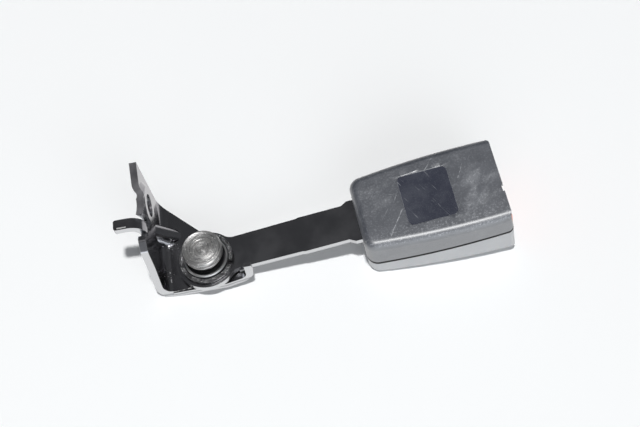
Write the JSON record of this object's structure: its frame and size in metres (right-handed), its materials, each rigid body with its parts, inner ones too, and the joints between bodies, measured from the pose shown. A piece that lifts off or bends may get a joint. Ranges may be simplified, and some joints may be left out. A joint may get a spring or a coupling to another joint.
{
  "type": "seat belt buckle",
  "caption": "Seat belt buckle on a flat steel stalk that pivots on an angled anchor bracket with a bolt hole and hook; end-release push button and tongue slot in a wedge-shaped two-part casing.",
  "frame": {"origin": "middle of the anchor bolt hole in the bracket's foot, half way through its wall", "axes": "+X runs along the stalk from the pivot to the buckle's mouth, +Z is the label side and is parallel to the pivot stud, +Y makes a right-handed set"},
  "size_m": [0.1873, 0.0648, 0.0664],
  "materials": {
    "black_steel": "black electro-coat over pressed steel, glossy, worn at the edges",
    "turned_steel": "bare turned steel, greyed",
    "bush_metal": "dark sintered metal with a worn bright lip",
    "spring_steel": "oiled spring steel",
    "zinc_steel": "zinc plated pressed steel",
    "cover_plastic": "fine grained moulded plastic, scuffed",
    "label_film": "blank satin film",
    "button_plastic": "orange red moulded plastic",
    "slide_plastic": "natural acetal"
  },
  "bodies": {
    "bracket": {"anchor_bracket": "black_steel", "pivot_stud": "turned_steel", "pivot_bush": "bush_metal", "thrust_washer": "bush_metal", "stud_tail_washer": "zinc_steel"},
    "stalk": {"buckle_arm": "black_steel", "spring_washer": "spring_steel", "frame_rivets": "zinc_steel", "latch_frame": "zinc_steel", "latch_pin": "zinc_steel", "back_cover": "cover_plastic", "front_cover": "cover_plastic", "blank_label": "label_film", "tongue_guide": "cover_plastic", "ejector_spring": "spring_steel", "button_springs": "spring_steel"},
    "button": {"press_button": "button_plastic"},
    "ejector": {"ejector": "slide_plastic"},
    "latch": {"latch_plate": "zinc_steel"},
    "lock": {"lock_bar": "zinc_steel"}
  },
  "joints": [
    {"name": "arm_pivot", "type": "hinge", "parent": "bracket", "child": "stalk", "pos_m": [0.02106, -0.02443, -0.024], "axis": [0, 0, 1], "range_deg": [0, 50]},
    {"name": "button_press", "type": "slide", "parent": "stalk", "child": "button", "axis": [-1, 0, 0], "range_m": [0, 0.005], "stiffness_N_per_m": 700, "springref_m": -0.0005, "deforming": ["button_springs"]},
    {"name": "ejector_slide", "type": "slide", "parent": "stalk", "child": "ejector", "axis": [-1, 0, 0], "range_m": [0, 0.012], "stiffness_N_per_m": 200, "springref_m": -0.001, "deforming": ["ejector_spring"]},
    {"name": "latch_turn", "type": "hinge", "parent": "stalk", "child": "latch", "pos_m": [0.11736, -0.02443, -0.0318], "axis": [0, -1, 0], "range_deg": [0, 7.52]},
    {"name": "lock_slide", "type": "slide", "parent": "stalk", "child": "lock", "axis": [0.9549, 0, 0.2971], "range_m": [0, 0.00945]}
  ],
  "couplings": [
    {"joint": "latch_turn", "follows": "ejector_slide", "rad_per_m": 10.908},
    {"joint": "lock_slide", "follows": "ejector_slide", "ratio": 0.78546}
  ]
}
